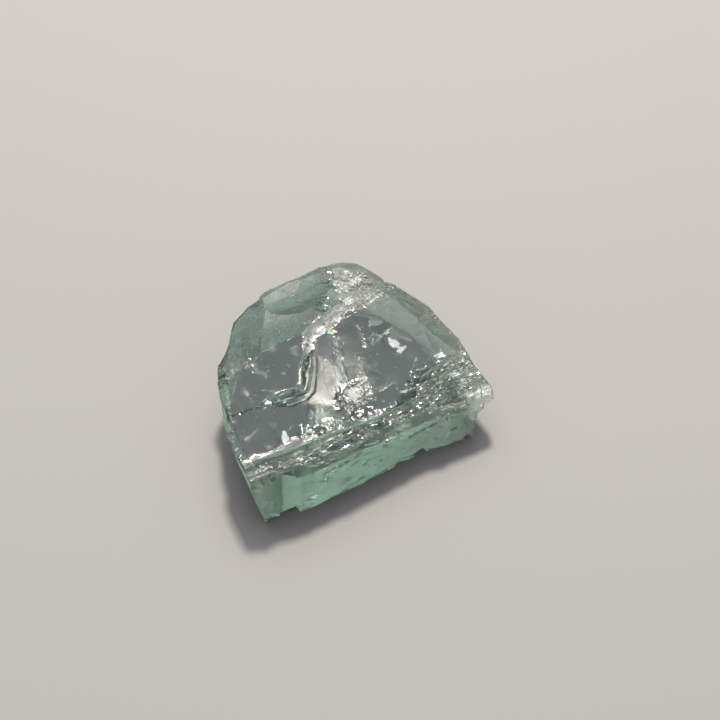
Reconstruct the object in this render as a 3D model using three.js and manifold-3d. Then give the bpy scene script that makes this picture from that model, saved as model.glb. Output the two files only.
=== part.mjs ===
// A loose phosphophyllite crystal: one blocky cleavage fragment that lies on a flat cleavage face.
// Millimetres, +Z up. +X runs along the straight front cleavage edge, +Y to the back of the fragment,
// and the origin is under the middle of the crystal, on the surface that it rests on.
import * as THREE from "three";
import { mergeVertices } from "three/addons/utils/BufferGeometryUtils.js";
import Module from "manifold-3d";

const wasm = await Module();
wasm.setup();

// ---------------------------------------------------------------- driving dimensions
const TOP = { height: 3.72, fallX: 0.044, fallY: -0.018 }; // the main top face, at the middle
const PLATE = { height: 3.97, fallX: 0.006, fallY: -0.03 }; // the raised cleavage plate
const PLATE_FOOT = 3.3; // inside the block, where the plate's prism starts
const ABOVE = 6; // over the crystal, where a cutter ends
const BELOW = -1; // under the crystal, where a cutter ends
const FAR = 9; // further out than the crystal's sides
const BLOCK = 40; // the edge of the cube that stands for a half space
const CHIP_REACH = 1.6; // how far a chip's cutter stands up from its facet
const WELD = 1e-5; // corners closer than this are one

// The outline from above, anticlockwise from the front left corner.
const OUTLINE = [
  [-6.62, -4.86], [-6.04, -5.14], [-5.56, -5.2], [-4.94, -5.06], [-4.4, -5.3], [-4.1, -5.44],
  [-2.8, -5.4], [0.3, -5.3], [1.5, -5.16], [2.4, -5.1], [3.1, -5.1], [4.2, -5.26], [6.0, -5.42],
  [6.88, -5.3], [7.1, -4.66], [7.04, -4.0], [6.92, -3.1], [6.96, -2.4], [6.94, -1.7],
  [6.84, -0.8], [6.66, 0.1], [6.54, 0.9], [6.42, 1.5], [6.2, 2.06], [5.92, 2.62], [5.66, 3.0],
  [5.36, 3.22], [5.06, 3.28], [4.96, 3.66], [4.74, 4.26], [4.36, 4.92], [3.88, 5.34],
  [3.28, 5.54], [2.84, 5.52], [2.4, 5.66], [1.6, 5.7], [0.66, 5.56], [-0.3, 5.5], [-0.94, 5.44],
  [-1.3, 5.22], [-1.44, 4.94], [-2.06, 4.86], [-2.7, 4.54], [-3.24, 4.26], [-3.5, 3.9],
  [-3.78, 3.5], [-3.98, 3.16], [-4.32, 2.78], [-4.72, 2.42], [-5.1, 2.14], [-5.42, 1.5],
  [-5.84, 0.8], [-6.12, -0.04], [-6.24, -0.44], [-6.36, -1.5], [-6.52, -2.6],
];

// The raised plate's edge across the top face, from the notch at the right to the left side.
const PLATE_EDGE = [
  [5.1, 3.1], [4.2, 2.78], [3.3, 2.54], [2.3, 2.38], [1.0, 2.06], [-0.02, 1.76], [-0.4, 1.24],
  [-0.72, 0.82], [-1.1, 0.3], [-1.4, -0.1], [-1.68, -0.72], [-2.04, -1.06], [-2.7, -1.2],
  [-3.44, -1.18], [-4.96, -1.0], [-7.2, -0.86],
];

// Walls that lean in towards the resting face: two outline points, the height where the lean
// starts, and how far in the wall is at the bottom.
const LEANING_WALLS = [
  { from: [-6.4, -1.4], to: [-6.78, -5.0], rim: 3.7, inset: 0.72 },
  { from: [-5.64, 1.14], to: [-6.38, -1.4], rim: 3.3, inset: 0.6 },
  { from: [-3.7, 3.7], to: [-5.3, 2.0], rim: 3.2, inset: 0.8 },
  { from: [-0.6, 5.56], to: [-3.4, 4.24], rim: 3.35, inset: 1.3 },
  { from: [2.6, 5.68], to: [-0.8, 5.5], rim: 3.3, inset: 2.1 },
  { from: [4.5, 4.84], to: [3.0, 5.66], rim: 3.2, inset: 2.0 },
  { from: [5.3, 3.2], to: [4.7, 4.4], rim: 3.0, inset: 1.1 },
  { from: [6.5, 1.3], to: [5.7, 3.0], rim: 2.9, inset: 0.5 },
  { from: [6.98, -1.2], to: [6.5, 1.0], rim: 2.9, inset: 1.2 },
  { from: [7.14, -4.4], to: [6.98, -1.7], rim: 2.6, inset: 1.5 },
];

// Cleavage steps down to the front face: each has the line of its riser, from left to right,
// and the plane of its tread.
const FRONT_STEPS = [
  {
    riser: [[-7.5, -4.2], [-5.2, -4.06], [-2.6, -4.02], [0.2, -4.16], [1.4, -4.14], [3.2, -3.86],
      [3.96, -2.94], [5.2, -2.62], [7.5, -2.0]],
    tread: { height: 3.56, fallX: 0.05, fallY: -0.02 },
  },
  {
    riser: [[-7.5, -4.46], [-4.6, -4.34], [-2.2, -4.3], [0.6, -4.44], [2.4, -4.28], [4.2, -3.5],
      [5.6, -3.06], [7.5, -2.7]],
    tread: { height: 3.46, fallX: 0.06, fallY: -0.01 },
  },
  {
    riser: [[-7.5, -4.72], [-5.6, -4.66], [-1.8, -4.6], [1.2, -4.72], [3.2, -4.42], [5.0, -3.72],
      [6.2, -3.5], [7.5, -3.44]],
    tread: { height: 3.36, fallX: 0.07, fallY: 0.01 },
  },
  {
    riser: [[-4.6, -5.7], [-4.2, -4.98], [-0.6, -4.96], [1.6, -4.98], [3.9, -4.62], [5.6, -4.22],
      [7.5, -4.0]],
    tread: { height: 3.24, fallX: 0.078, fallY: 0.03 },
  },
];

// Small terraces that follow the raised plate round its front right corner, each lower than the last.
const CORNER_TERRACES = [
  {
    edge: [[0.0, 1.7], [-0.3, 1.06], [-0.58, 0.46], [-0.86, -0.14], [-1.36, -0.88], [-1.74, -1.34],
      [-2.6, -1.34], [-4.2, -1.14], [-2, 0.5]],
    tread: { height: 3.83, fallX: 0.04, fallY: -0.02 },
  },
  {
    edge: [[0.1, 1.4], [-0.14, 0.9], [-0.34, 0.3], [-0.82, -0.6], [-1.34, -1.42], [-1.86, -1.7],
      [-2.8, -1.66], [-3.7, -1.3], [-2, 0.5]],
    tread: { height: 3.775, fallX: 0.042, fallY: -0.02 },
  },
];

// The right end is layered: between two heights, the layers stop at this outline.
const RIGHT_END_LAYERS = [
  {
    outline: [[5.86, -6], [5.78, -4.9], [5.96, -3.6], [FAR, -3.2], [FAR, -6]],
    low: BELOW,
    high: 1.3,
  },
  {
    outline: [[5.66, -6], [5.6, -4.84], [5.9, -4.1], [FAR, -3.9], [FAR, -6]],
    low: 1.25,
    high: 1.6,
  },
  {
    outline: [[5.9, -6], [5.96, -5.16], [6.3, -4.2], [FAR, -3.9], [FAR, -6]],
    low: 1.58,
    high: 2.16,
  },
  {
    outline: [[6.26, -6], [6.34, -5.0], [6.64, -4.4], [FAR, -4.2], [FAR, -6]],
    low: 2.14,
    high: 2.5,
  },
];

// Shell-shaped fracture scoops in the walls: the ball's centre and radius.
const SCOOPS = [
  { centre: [0.6, 9.74, 0.3], radius: 5.6 },
  { centre: [6.1, 6.9, 0.8], radius: 3.5 },
  { centre: [-5.6, 5.5, 0.9], radius: 3.1 },
  { centre: [9.7, -0.2, 0.4], radius: 3.9 },
  { centre: [-9.3, 0.5, 0.2], radius: 3.7 },
];
const BALL_DETAIL = 6; // how finely a scoop's ball is faceted

// Broken edges: facets side by side along a path that keeps the crystal on its left. Each facet
// slopes at the tilt from upright, and reaches some way above and below the path. Its length is
// the pitch times the stretch, and rough is how much the facets vary.
const RISERS = [
  // the slanting riser at the right of the plate
  {
    path: [[-0.2, 1.62, 3.72], [1.0, 2.04, 3.69], [2.3, 2.34, 3.64], [3.3, 2.52, 3.6], [4.2, 2.76, 3.56],
      [5.3, 3.16, 3.5]],
    tilt: 55, pitch: 0.4, stretch: 1.4, up: 1.2, down: 0.04, rough: 0.12,
  },
  // the steeper riser at the plate's corner
  {
    path: [[-1.8, -0.9, 3.83], [-1.4, -0.16, 3.82], [-0.74, 0.78, 3.79], [-0.14, 1.6, 3.76]],
    tilt: 22, pitch: 0.5, stretch: 1.3, up: 0.8, down: 0.04, rough: 0.08,
  },
];
const BROKEN_EDGES = [
  // the chipped left corner, and the wall under it
  {
    path: [[-5.36, 1.5, 3.7], [-5.84, 0.7, 3.62], [-6.14, -0.2, 3.56], [-6.3, -1.3, 3.64]],
    tilt: 46, pitch: 0.42, stretch: 2.2, up: 1.2, down: 1, rough: 0.14,
  },
  {
    path: [[-5.6, 1.1, 2.8], [-6.0, -0.1, 2.6], [-6.2, -1.2, 2.9]],
    tilt: 14, pitch: 0.7, stretch: 2.4, up: 1.2, down: 1.2, rough: 0.1,
  },
  // the left edge of the top
  {
    path: [[-6.44, -1.7, 3.8], [-6.58, -3.0, 3.8], [-6.68, -4.7, 3.72]],
    tilt: 40, pitch: 0.8, stretch: 3, up: 1, down: 1, rough: 0.02,
  },
  // the upper left edge
  {
    path: [[0.6, 5.58, 3.74], [-1.3, 5.26, 3.78], [-3.3, 4.26, 3.84], [-4.5, 2.66, 3.96], [-5.4, 1.7, 3.98]],
    tilt: 50, pitch: 0.6, stretch: 2.6, up: 1, down: 1, rough: 0.05,
  },
  // the top of the back lobe
  {
    path: [[4.96, 3.8, 3.6], [4.1, 5.16, 3.58], [2.6, 5.62, 3.64], [0.8, 5.6, 3.74]],
    tilt: 58, pitch: 0.5, stretch: 2.6, up: 1.2, down: 1, rough: 0.07,
  },
  // the dome's rim, and the long facets inside it
  {
    path: [[6.96, -1.7, 3.14], [6.66, 0.1, 3.16], [6.42, 1.44, 3.22], [5.92, 2.6, 3.32], [5.4, 3.16, 3.4]],
    tilt: 50, pitch: 0.46, stretch: 2.6, up: 1, down: 1, rough: 0.06,
  },
  {
    path: [[6.6, -2.0, 3.3], [6.36, -0.4, 3.31], [6.06, 1.0, 3.34], [5.6, 2.4, 3.37]],
    tilt: 77, pitch: 0.9, stretch: 2.6, up: 1.4, down: 1.4, rough: 0.02,
  },
  // the right tip
  {
    path: [[6.5, -5.4, 2.9], [7.06, -5.0, 2.88], [7.0, -4.0, 2.92], [6.88, -3.0, 2.98], [6.94, -1.9, 3.06]],
    tilt: 50, pitch: 0.46, stretch: 2, up: 1.2, down: 1, rough: 0.12,
  },
  // the front edge, chipped at the left and straighter along the rest
  {
    path: [[-6.5, -5.0, 3.48], [-5.6, -5.26, 3.42], [-4.3, -5.38, 3.36]],
    tilt: 44, pitch: 0.5, stretch: 2, up: 1, down: 1, rough: 0.08,
  },
  {
    path: [[-4.3, -5.42, 3.3], [-0.4, -5.34, 3.06], [2.2, -5.14, 2.9], [4.6, -5.32, 2.72], [6.4, -5.4, 2.6]],
    tilt: 46, pitch: 0.8, stretch: 3, up: 1, down: 1, rough: 0.03,
  },
];

// Broken ground inside a face: shallow shell-shaped dimples over an oval, whose long way is turned
// from +X by some degrees.
const ROUGH_PATCHES = [
  // behind the slanting riser, and at the top of that riser
  { face: PLATE, middle: [3.3, 3.9], reach: [1.2, 0.8], turn: -25, count: 20 },
  { face: PLATE, middle: [1.9, 2.9], reach: [1.1, 0.3], turn: -8, count: 10 },
  // the bruise in the middle of the top, and the broken ground that runs from it to the left
  { face: TOP, middle: [0.3, -2.7], reach: [0.9, 0.6], turn: 10, count: 16 },
  { face: TOP, middle: [-1.4, -3.5], reach: [2.2, 0.36], turn: -4, count: 16 },
  // the hollow at the right
  { face: TOP, middle: [3.4, -3.3], reach: [0.6, 0.5], turn: 50, count: 6 },
];
const DIMPLE = { radius: 0.9, deep: 0.06, detail: 2, radiusSpread: 0.4, deepSpread: 0.6 };
const SCATTER_SEED = 5; // any other whole number breaks the edges in another way

// Chips that face down along the bottom edges: where the chip ends on the resting face, the way
// that it opens in plan, its width, its slope from upright and its height.
const BOTTOM_CHIPS = [
  { foot: [-4.72, -4.94], opens: [0.1, -1], width: 0.9, tilt: -40, tall: 0.5 },
  { foot: [-5.5, -4.96], opens: [-0.5, -1], width: 0.6, tilt: -30, tall: 0.3 },
  { foot: [2.76, -4.84], opens: [0.3, -1], width: 0.62, tilt: -36, tall: 0.56 },
  { foot: [1.8, -5.02], opens: [-0.2, -1], width: 0.9, tilt: -34, tall: 0.26 },
  { foot: [5.5, -4.88], opens: [0.6, -1], width: 0.8, tilt: -50, tall: 0.3 },
];

// ---------------------------------------------------------------- helpers
const { degToRad, seededRandom } = THREE.MathUtils;
const UP = new THREE.Vector3(0, 0, 1);

// A closed three.js geometry as a solid that can be joined and cut.
function solidOf(geometry) {
  const bare = geometry.index ? geometry.toNonIndexed() : geometry.clone();
  bare.deleteAttribute("normal");
  bare.deleteAttribute("uv");
  const merged = mergeVertices(bare, WELD);
  return new wasm.Manifold(
    new wasm.Mesh({
      numProp: 3,
      vertProperties: new Float32Array(merged.attributes.position.array),
      triVerts: new Uint32Array(merged.index.array),
    }),
  );
}

// A straight prism on a flat outline, from one height to another.
function prism(points, low, high) {
  const shape = new THREE.Shape(points.map(([x, y]) => new THREE.Vector2(x, y)));
  const geometry = new THREE.ExtrudeGeometry(shape, { depth: high - low, bevelEnabled: false });
  return solidOf(geometry.translate(0, 0, low));
}

// Everything on the side of a plane that its normal points to.
function halfSpace(point, normal) {
  const outward = new THREE.Vector3(...normal).normalize();
  const turn = new THREE.Quaternion().setFromUnitVectors(UP, outward);
  const centre = new THREE.Vector3(...point).addScaledVector(outward, BLOCK / 2);
  const block = new THREE.BoxGeometry(BLOCK, BLOCK, BLOCK);
  return solidOf(block.applyQuaternion(turn).translate(centre.x, centre.y, centre.z));
}

// The space above a sloping face, given its height at the middle and its falls in X and Y.
function above({ height, fallX, fallY }) {
  return halfSpace([0, 0, height], [fallX, fallY, 1]);
}

// A block that stands on one broken facet. The facet runs evenly to both sides of its foot along
// the edge, up its slope and down it.
function chip({ foot, along, faces, length, up, down }) {
  const upslope = new THREE.Vector3().crossVectors(faces, along).normalize();
  const side = new THREE.Vector3().crossVectors(upslope, faces).normalize();
  const block = new THREE.BoxGeometry(length, up + down, CHIP_REACH);
  block.translate(0, (up - down) / 2, CHIP_REACH / 2);
  const place = new THREE.Matrix4().makeBasis(side, upslope, faces).setPosition(foot);
  return solidOf(block.applyMatrix4(place));
}

// The way that a facet faces: out from the edge that it lies along, tilted up by some degrees.
function facing(along, tilt) {
  const outward = new THREE.Vector3().crossVectors(along, UP).normalize();
  return outward.multiplyScalar(Math.cos(degToRad(tilt))).addScaledVector(UP, Math.sin(degToRad(tilt)));
}

// A repeatable scatter between -1 and 1, so that every build is the same.
seededRandom(SCATTER_SEED);
function scatter() {
  return 2 * seededRandom() - 1;
}

function scatterVector(size) {
  return new THREE.Vector3(scatter(), scatter(), scatter()).multiplyScalar(size);
}

// ---------------------------------------------------------------- the fragment, form by form

// The space outside a wall that leans in towards the bottom.
function outsideWall({ from, to, rim, inset }) {
  const along = new THREE.Vector2(to[0] - from[0], to[1] - from[1]).normalize();
  return halfSpace([from[0], from[1], rim], [along.y * rim, -along.x * rim, -inset]);
}

// The block with its main top face and its leaning walls.
function cleavedBlock() {
  const block = prism(OUTLINE, 0, ABOVE).subtract(above(TOP));
  return LEANING_WALLS.reduce((rest, wall) => rest.subtract(outsideWall(wall)), block);
}

// The raised plate at the back left, with the terraces round its corner.
function raisedPlate() {
  const reach = [...PLATE_EDGE, [-FAR, 3], [-FAR, FAR], [FAR, FAR], [FAR, 4.4]].reverse();
  const outline = prism(OUTLINE, PLATE_FOOT, ABOVE);
  const plate = outline.intersect(prism(reach, PLATE_FOOT, ABOVE)).subtract(above(PLATE));
  return CORNER_TERRACES.reduce(
    (whole, { edge, tread }) => whole.add(prism(edge, PLATE_FOOT, ABOVE).subtract(above(tread))),
    plate,
  );
}

// The space over each tread in front of its riser.
function frontSteps() {
  return FRONT_STEPS.map(({ riser, tread }) =>
    prism([...riser, [FAR, -FAR], [-FAR, -FAR]].reverse(), BELOW, ABOVE).intersect(above(tread)),
  );
}

// The space where the lower layers of the right end stop short.
function rightEndGaps() {
  return RIGHT_END_LAYERS.map(({ outline, low, high }) => prism([...outline].reverse(), low, high));
}

// A faceted ball, turned so that no two show the same facets, that scoops a shell-shaped hollow.
function ball(centre, radius, detail, turn) {
  const geometry = new THREE.IcosahedronGeometry(radius, detail);
  return solidOf(geometry.rotateX(turn).rotateZ(turn).translate(...centre));
}

// Facets side by side along one broken edge. Where rough is 1, a facet's tilt varies by a right
// angle and its foot by half the pitch.
function brokenEdge({ path, tilt, pitch, stretch, up, down, rough }) {
  const curve = new THREE.CatmullRomCurve3(path.map((point) => new THREE.Vector3(...point)));
  const count = Math.round(curve.getLength() / pitch);
  return Array.from({ length: count }, (_, i) => {
    const share = (i + 0.5) / count;
    const foot = curve.getPointAt(share).add(scatterVector((rough * pitch) / 2));
    const along = curve.getTangentAt(share).setZ(0).add(scatterVector(rough)).normalize();
    const faces = facing(along, tilt + 90 * rough * scatter());
    return chip({ foot, along, faces, length: pitch * stretch, up, down });
  });
}

// The height of a sloping face at a place in plan.
function heightOf({ height, fallX, fallY }, x, y) {
  return height - fallX * x - fallY * y;
}

// Dimples over an oval, spread by the golden angle.
function roughPatch({ face, middle, reach, turn, count }) {
  const goldenAngle = Math.PI * (3 - Math.sqrt(5));
  return Array.from({ length: count }, (_, i) => {
    const out = Math.sqrt((i + 0.5) / count);
    const spot = new THREE.Vector3(Math.cos(i * goldenAngle), Math.sin(i * goldenAngle), 0);
    spot.multiply(new THREE.Vector3(reach[0] * out, reach[1] * out, 0));
    spot.applyAxisAngle(UP, degToRad(turn)).add(new THREE.Vector3(...middle, 0));
    const radius = DIMPLE.radius * (1 + DIMPLE.radiusSpread * scatter());
    const deep = DIMPLE.deep * (1 + DIMPLE.deepSpread * scatter());
    const height = heightOf(face, spot.x, spot.y) + radius - deep;
    return ball([spot.x, spot.y, height], radius, DIMPLE.detail, i);
  });
}

// Chips that face down, out of the bottom edges.
function bottomChips() {
  return BOTTOM_CHIPS.map(({ foot, opens, width, tilt, tall }) => {
    const along = new THREE.Vector3(-opens[1], opens[0], 0).normalize();
    return chip({
      foot: new THREE.Vector3(foot[0], foot[1], 0),
      along,
      faces: facing(along, tilt),
      length: width,
      up: tall / Math.cos(degToRad(tilt)),
      down: 0,
    });
  });
}

// ---------------------------------------------------------------- assembly
const cuts = [
  ...frontSteps(),
  ...rightEndGaps(),
  ...SCOOPS.map(({ centre, radius }, i) => ball(centre, radius, BALL_DETAIL, i)),
  ...RISERS.flatMap(brokenEdge),
  ...BROKEN_EDGES.flatMap(brokenEdge),
  ...ROUGH_PATCHES.flatMap(roughPatch),
  ...bottomChips(),
];
const whole = cuts.reduce((rest, cut) => rest.subtract(cut), cleavedBlock().add(raisedPlate()));

const box = whole.boundingBox();
const middle = box.min.map((low, axis) => (low + box.max[axis]) / 2);
const crystal = whole.translate([-middle[0], -middle[1], -box.min[2]]);

const made = crystal.getMesh();
const geometry = new THREE.BufferGeometry();
geometry.setAttribute("position", new THREE.BufferAttribute(made.vertProperties, 3));
geometry.setIndex(new THREE.BufferAttribute(made.triVerts, 1));
const glass = new THREE.MeshStandardMaterial({
  color: 0xa9cfc4,
  roughness: 0.15,
  metalness: 0,
  transparent: true,
  opacity: 0.6,
});
const mesh = new THREE.Mesh(geometry, glass);
mesh.name = "crystal";

const part = new THREE.Group();
part.add(mesh);
export default part;
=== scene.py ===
# %% [markdown]
# # A loose phosphophyllite crystal
#
# This lesson dresses one small, clear, sea-green crystal: a fragment about 14 mm long that split off
# along flat cleavage planes and lies on its widest one. The solid that the frame gives already has its
# main shapes: the outline, the raised plate, the steps down to the front and the broken corners. What
# is missing is what makes a crystal look real from close up: fine growth lines on the top, silky broken
# walls, thin cracks inside, and glass that takes its colour from its depth.

import math
import random

import bmesh
import bpy
from mathutils import Matrix, Vector, noise
from mathutils.bvhtree import BVHTree


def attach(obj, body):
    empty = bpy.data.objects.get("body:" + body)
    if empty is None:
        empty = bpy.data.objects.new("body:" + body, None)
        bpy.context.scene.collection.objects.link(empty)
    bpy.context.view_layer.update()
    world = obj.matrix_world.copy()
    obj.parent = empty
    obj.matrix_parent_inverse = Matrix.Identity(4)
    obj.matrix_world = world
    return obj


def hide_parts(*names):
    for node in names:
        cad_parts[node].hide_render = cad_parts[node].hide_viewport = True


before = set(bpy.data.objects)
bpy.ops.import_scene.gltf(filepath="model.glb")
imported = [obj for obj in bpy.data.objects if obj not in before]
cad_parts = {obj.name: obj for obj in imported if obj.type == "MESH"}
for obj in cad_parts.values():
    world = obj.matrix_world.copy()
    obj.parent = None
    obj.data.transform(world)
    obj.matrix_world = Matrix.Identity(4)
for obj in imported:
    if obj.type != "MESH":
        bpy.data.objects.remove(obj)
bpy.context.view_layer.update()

# %% [markdown]
# ## Even squares for a fine relief
#
# The frame's solid is made of long thin triangles, and a relief can't move what has no vertices. A remesh
# turns it into even squares; the sharp kind keeps the edges where the cleavage planes meet. It also cuts
# the corners a little, so each new vertex is put back on the nearest point of the solid. The work is done
# in millimetres, because 0.08 is easier to read than 0.00008. The first copy is merged at its corners and
# leaves the frame's own mesh as it is.

# %% A merged copy in millimetres
MM = 0.001
MERGE = 1e-4


def merged_copy(name):
    """The node's mesh in millimetres, with its loose triangles joined at their corners."""
    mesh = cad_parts[name].data.copy()
    mesh.materials.clear()
    work = bmesh.new()
    work.from_mesh(mesh)
    bmesh.ops.scale(work, vec=Vector((1, 1, 1)) / MM, verts=work.verts)
    bmesh.ops.remove_doubles(work, verts=work.verts, dist=MERGE)
    work.to_mesh(mesh)
    tree = BVHTree.FromBMesh(work)
    work.free()
    return mesh, tree


solid, surface = merged_copy("crystal")
print("corners of the solid:", len(solid.vertices))

# %% Remesh it and put it back on the solid
REMESH_DEPTH, REMESH_SCALE = 8, 0.7  # together they give squares of about 0.08 mm


def placed(name, data):
    """A new object in the scene with this mesh, lamp or camera."""
    piece = bpy.data.objects.new(name, data)
    bpy.context.scene.collection.objects.link(piece)
    return piece


def with_modifiers(piece):
    """The piece's mesh as its modifiers leave it; the modifiers are then taken off."""
    bpy.context.view_layer.update()
    made = bpy.data.meshes.new_from_object(piece.evaluated_get(bpy.context.evaluated_depsgraph_get()))
    piece.modifiers.clear()
    made.materials.clear()
    return made


def remeshed(mesh):
    """The same surface in even squares, as the piece that the rest of the lesson carves."""
    piece = placed("crystal_fine", mesh)
    remesh = piece.modifiers.new("even squares", "REMESH")
    remesh.mode = "SHARP"
    remesh.octree_depth = REMESH_DEPTH
    remesh.scale = REMESH_SCALE
    remesh.use_remove_disconnected = False
    piece.data = with_modifiers(piece)
    return piece


crystal = remeshed(solid)
for vertex in crystal.data.vertices:
    vertex.co = surface.find_nearest(vertex.co)[0]
print("squares:", len(crystal.data.polygons))

# %% [markdown]
# ## Open cracks
#
# The top of the real crystal is crossed by thin dark cracks: one long pair that runs down from the step
# of the raised plate, and many short strokes on the broken strip in front. A crack that reaches the
# surface is a real cut, so it is made as one: thin lens-shaped cutters are laid along each path and taken
# away with a boolean. Bump alone would show no dark depth and no broken reflection. The upper half of each
# cutter is pressed flat, so that it opens the surface without leaving a lip above it.

# %% Paths of the open cracks
SPLITS = [
    [
        (-0.22, 1.82), (-0.66, 1.25), (-1.03, 0.77), (-1.35, 0.36), (-1.63, 0.02), (-1.93, -0.76),
        (-1.99, -1.3),
    ],
    [(-0.88, 0.43), (-1.25, -0.2), (-1.45, -0.75), (-1.76, -1.25)],
    [(-2.0, -1.2), (-2.6, -1.08), (-3.48, -1.03), (-4.33, -0.99)],
    [(-1.3, 0.4), (-1.05, -0.1)],
    [(-3.34, -4.16), (-2.4, -4.02), (-1.6, -4.0)],
    [(-2.93, -4.63), (-2.1, -4.5), (-1.25, -4.43), (-0.3, -4.45)],
    [(0.6, -4.5), (1.5, -4.4), (2.6, -4.35)],
    [(4.2, -3.1), (5.1, -3.0), (5.9, -3.05)],
    [(3.9, -3.7), (4.8, -3.62), (5.7, -3.6)],
    [(-0.5, -3.1), (0.3, -3.3), (1.0, -3.25)],
]
STROKE_FIELDS = [  # middle x, y, reach in x, y, how many
    (4.6, -3.5, 1.7, 1.0, 34), (0.5, -4.45, 4.0, 0.25, 26), (-4.6, -4.6, 1.6, 0.35, 16),
    (3.3, 3.5, 0.9, 0.5, 10), (1.6, 2.25, 1.6, 0.2, 8), (0.8, -5.1, 4.6, 0.2, 34),
]
STROKE_LENGTH = (0.25, 0.9)
STROKE_TURN = 0.05

random.seed(5)
STROKES = []
for x, y, reach_x, reach_y, count in STROKE_FIELDS:
    for _ in range(count):
        start = Vector((x + random.uniform(-reach_x, reach_x), y + random.uniform(-reach_y, reach_y)))
        along = Vector((random.uniform(*STROKE_LENGTH), random.gauss(0, STROKE_TURN)))
        STROKES.append([start - along / 2, start + along / 2])
print("open cracks:", len(SPLITS), "long,", len(STROKES), "short")

# %% One group of cutters
CRACK_WIDE, CRACK_DEEP = 0.02, 0.13  # half widths across and down
CRACK_OVERLAP = 0.58  # half of a cutter's length, as a share of its stretch of the path
PRESSED = 0.1  # how high the flat upper half is
ABOVE = 9  # a height above everything, from which a spot on the plan is dropped on the crystal
DOWN = Vector((0, 0, -1))
GROUPS = 6  # neighbouring stretches overlap, so they go into different groups
STRETCHES = [pair for path in SPLITS + STROKES for pair in zip(path, path[1:])]


def crack_cutter(work, middle, along, height):
    """A sphere pressed to a thin wavy lens that stands on edge along its stretch of the path."""
    made = bmesh.ops.create_icosphere(work, subdivisions=2, radius=1.0)["verts"]
    sway = noise.noise(Vector((middle.x * 7, middle.y * 7, 1)))
    for v in made:
        v.co.z *= PRESSED if v.co.z > 0 else 1.0
        v.co.y += 0.5 * noise.noise(Vector((v.co.x * 3, v.co.z * 2, middle.x)))
    place = (
        Matrix.Translation((middle.x, middle.y, height))
        @ Matrix.Rotation(math.atan2(along.y, along.x), 4, "Z")
        @ Matrix.Rotation(0.5 * sway, 4, "X")
        @ Matrix.Diagonal((along.length * CRACK_OVERLAP, CRACK_WIDE + 0.01 * sway, CRACK_DEEP, 1))
    )
    bmesh.ops.transform(work, matrix=place, verts=made)


def cutters(group):
    """The cutters of one group: every stretch of the paths whose turn falls on it."""
    work = bmesh.new()
    for number, (start, end) in enumerate(STRETCHES, 1):
        if number % GROUPS != group:
            continue
        a, b = Vector(start), Vector(end)
        middle = (a + b) / 2
        hit = surface.ray_cast(Vector((middle.x, middle.y, ABOVE)), DOWN)[0]
        if hit is not None:
            crack_cutter(work, middle, b - a, hit.z)
    mesh = bpy.data.meshes.new("splits")
    work.to_mesh(mesh)
    work.free()
    return mesh


print("stretches to cut:", len(STRETCHES), "in", GROUPS, "groups")


# %% Take them away
def cut_splits(piece):
    """Takes one group of cutters after the other away from the piece."""
    for group in range(GROUPS):
        cutter = placed("splits", cutters(group))
        cut = piece.modifiers.new("splits", "BOOLEAN")
        cut.operation = "DIFFERENCE"
        cut.solver = "MANIFOLD"
        cut.object = cutter
        piece.data = with_modifiers(piece)
        bpy.data.objects.remove(cutter)


cut_splits(crystal)
print("after the cuts:", len(crystal.data.vertices), "corners")

# %% [markdown]
# ## Where each finish lies
#
# One crystal shows many surfaces: calm mirror-like cleavage, a silky band where the raised plate steps
# down, a crushed spot, stepped strips in front and a soft cream sheen. Each is marked on the plan as a soft
# ellipse, or as a distance from a path, and a ragged edge comes from a noise. Python works each mark out
# once per vertex, so that the shape, the roughness and the small flakes all agree on where things are.

# %% Paths on the plan
B_ANGLE = math.radians(78)  # the second cleavage runs this way on the plan; the first runs along X
RISER = [
    (4.86, 2.99), (3.96, 2.67), (3.06, 2.43), (2.06, 2.27), (0.76, 1.95), (-0.26, 1.65), (-0.64, 1.13),
    (-0.96, 0.71), (-1.34, 0.19), (-1.64, -0.21), (-1.92, -0.83), (-2.28, -1.17), (-2.94, -1.31),
    (-3.68, -1.29), (-5.2, -1.11),
]
BAND = RISER[:7]  # the broad silky part of the step
RISER_TURN = RISER[7:12]  # where the step bends down to the left
LEDGE = [
    (-6.6, -4.3), (-5.8, -4.5), (-4.1, -4.15), (-2.85, -3.65), (-1.9, -3.55), (-0.75, -3.76), (0.9, -4.2),
    (2.9, -3.9), (3.7, -4.0),
]
BAND_REACH, LEDGE_REACH, HAZE_REACH = 0.34, 0.24, 0.34
LEDGE_STARTS = (-5.2, -3.6)  # the ledge fades in between these two x
FRONT_ENDS = (-4.4, -3.9)  # the stepped front fades out between these two y
RIM_STARTS, RIM_SLANT = (4.6, 5.4), 0.35  # the right rim fades in along x, and slants with y
HAZE = [(-6.8, -4.1), (-5.7, -4.2), (-4.6, -4.15), (-3.7, -3.95)]
LANES = [  # path, reach
    ([(0.85, 1.1), (0.35, -0.4), (0.0, -1.7)], 0.24),
    ([(1.4, -0.6), (1.1, -1.4), (0.85, -2.3)], 0.16),
    ([(2.25, 1.3), (2.1, 0.4), (2.0, 0.0)], 0.12),
    ([(-3.7, 1.9), (-3.9, 0.9)], 0.05),
    ([(-5.3, -0.4), (-5.5, -1.3)], 0.04),
]
print("paths:", len(RISER), "points on the riser,", len(LEDGE), "on the ledge,", len(LANES), "lanes")

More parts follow.
